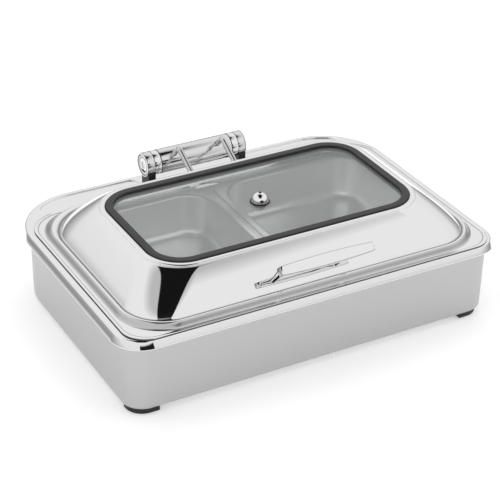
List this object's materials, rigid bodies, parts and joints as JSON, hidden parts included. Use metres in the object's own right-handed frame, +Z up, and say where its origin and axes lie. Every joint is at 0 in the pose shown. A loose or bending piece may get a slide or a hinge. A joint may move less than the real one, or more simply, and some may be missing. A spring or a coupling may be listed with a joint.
{
  "type": "chafing dish",
  "caption": "Rectangular steel chafing dish with a water tank, side-by-side food pans and a damped hinged lid with a glass window, steam vent and front bar handle.",
  "frame": {"origin": "on the table under the middle of the whole dish, handle included", "axes": "+X along the dish to its right seen from the front, +Y from the handle to the hinge at the back, +Z up"},
  "size_m": [0.61, 0.44, 0.1913],
  "materials": {
    "polished_steel": "mirror polished stainless steel",
    "brushed_steel": "satin brushed stainless steel",
    "pan_steel": "bright drawn stainless steel",
    "plain_steel": "plain machined steel",
    "rubber": "matt black rubber",
    "gasket": "matt charcoal silicone",
    "glass": "clear toughened glass",
    "bush": "plain bearing bronze",
    "damper": "black moulded damper body"
  },
  "bodies": {
    "base": {"water_tank": "brushed_steel", "rim_frame": "polished_steel", "pan_support_bar": "pan_steel", "base_plate": "plain_steel", "foot_studs": "plain_steel", "foot_front_left": "rubber", "foot_front_right": "rubber", "foot_back_left": "rubber", "foot_back_right": "rubber", "hinge_bracket_left": "brushed_steel", "hinge_bracket_right": "brushed_steel", "hinge_collar_left": "polished_steel", "hinge_collar_right": "polished_steel", "hinge_cap_left": "polished_steel", "hinge_cap_right": "polished_steel", "hinge_shaft": "plain_steel", "hinge_backing_plate": "plain_steel", "hinge_screws": "plain_steel"},
    "lid": {"lid_shell": "polished_steel", "window_gasket": "gasket", "window_glass": "glass", "vent_cap": "polished_steel", "vent_seal": "rubber", "vent_washer": "rubber", "vent_nut": "plain_steel", "handle_bar": "polished_steel", "handle_post_left": "polished_steel", "handle_post_right": "polished_steel", "handle_washers": "plain_steel", "handle_screws": "plain_steel", "hinge_sleeve": "brushed_steel", "hinge_bush_left": "bush", "hinge_bush_right": "bush", "hinge_damper": "damper", "hinge_arm_left": "polished_steel", "hinge_arm_right": "polished_steel", "arm_washers": "plain_steel", "arm_nuts": "plain_steel"},
    "left_pan": {"food_pan_left": "pan_steel"},
    "right_pan": {"food_pan_right": "pan_steel"}
  },
  "joints": [
    {"name": "lid_hinge", "type": "hinge", "parent": "base", "child": "lid", "pos_m": [0, 0.18745, 0.1572], "axis": [-1, 0, 0], "range_deg": [0, 90]},
    {"name": "left_pan_lift", "type": "slide", "parent": "base", "child": "left_pan", "axis": [0, 0, 1], "range_m": [0, 0.006]},
    {"name": "right_pan_lift", "type": "slide", "parent": "base", "child": "right_pan", "axis": [0, 0, 1], "range_m": [0, 0.006]}
  ]
}
